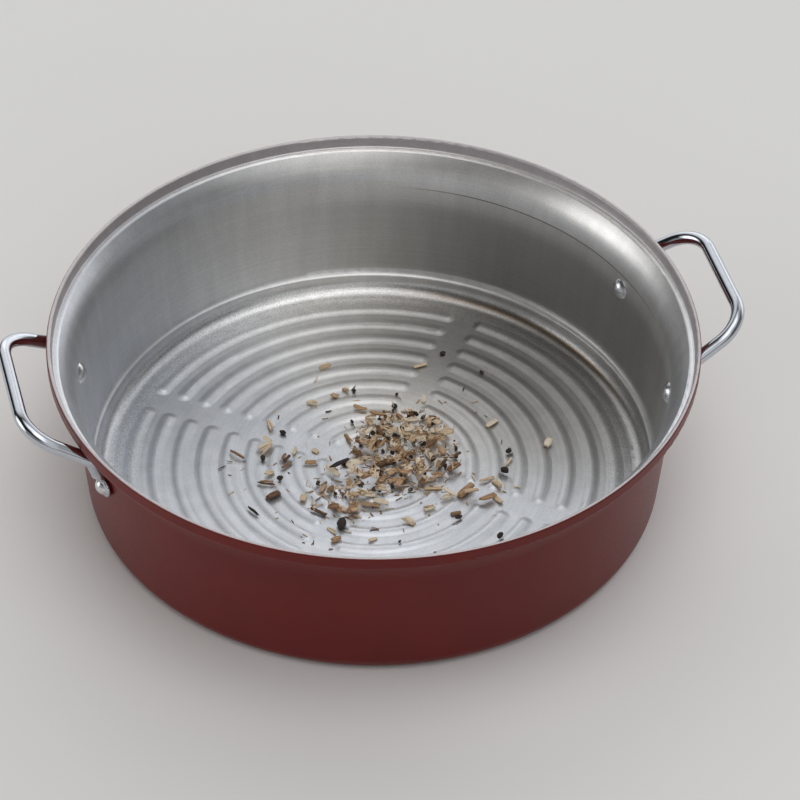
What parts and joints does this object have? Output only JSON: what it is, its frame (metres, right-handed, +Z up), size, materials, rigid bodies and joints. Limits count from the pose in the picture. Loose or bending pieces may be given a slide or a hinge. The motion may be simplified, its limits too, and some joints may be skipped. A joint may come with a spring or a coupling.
{
  "type": "stovetop smoker pan",
  "caption": "Open round stovetop smoker pan: stepped rim for a lid, ribbed base, a riveted loop handle on each side, smoking wood chips on the base.",
  "frame": {"origin": "middle of the base's underside, on the pan's axis", "axes": "+Z up along the pan's axis; the two handles lie along X, right_handle towards +X; -Y is the side with the front rivets"},
  "size_m": [0.372, 0.327, 0.0975],
  "materials": {
    "pan_shell": "glossy dark red enamel outside, bare satin aluminium inside and on the rim's edge",
    "handle_chrome": "bright chrome plate on steel rod",
    "rivet_metal": "satin aluminium",
    "light_wood": "raw split wood, pale tan",
    "brown_wood": "raw split wood, reddish brown",
    "bark": "rough dark bark"
  },
  "bodies": {
    "root": {"pan": "pan_shell", "left_handle": "handle_chrome", "right_handle": "handle_chrome", "left_rear_rivet": "rivet_metal", "left_front_rivet": "rivet_metal", "right_rear_rivet": "rivet_metal", "right_front_rivet": "rivet_metal", "light_wood_chips": "light_wood", "brown_wood_chips": "brown_wood", "bark_grains": "bark"}
  },
  "joints": []
}
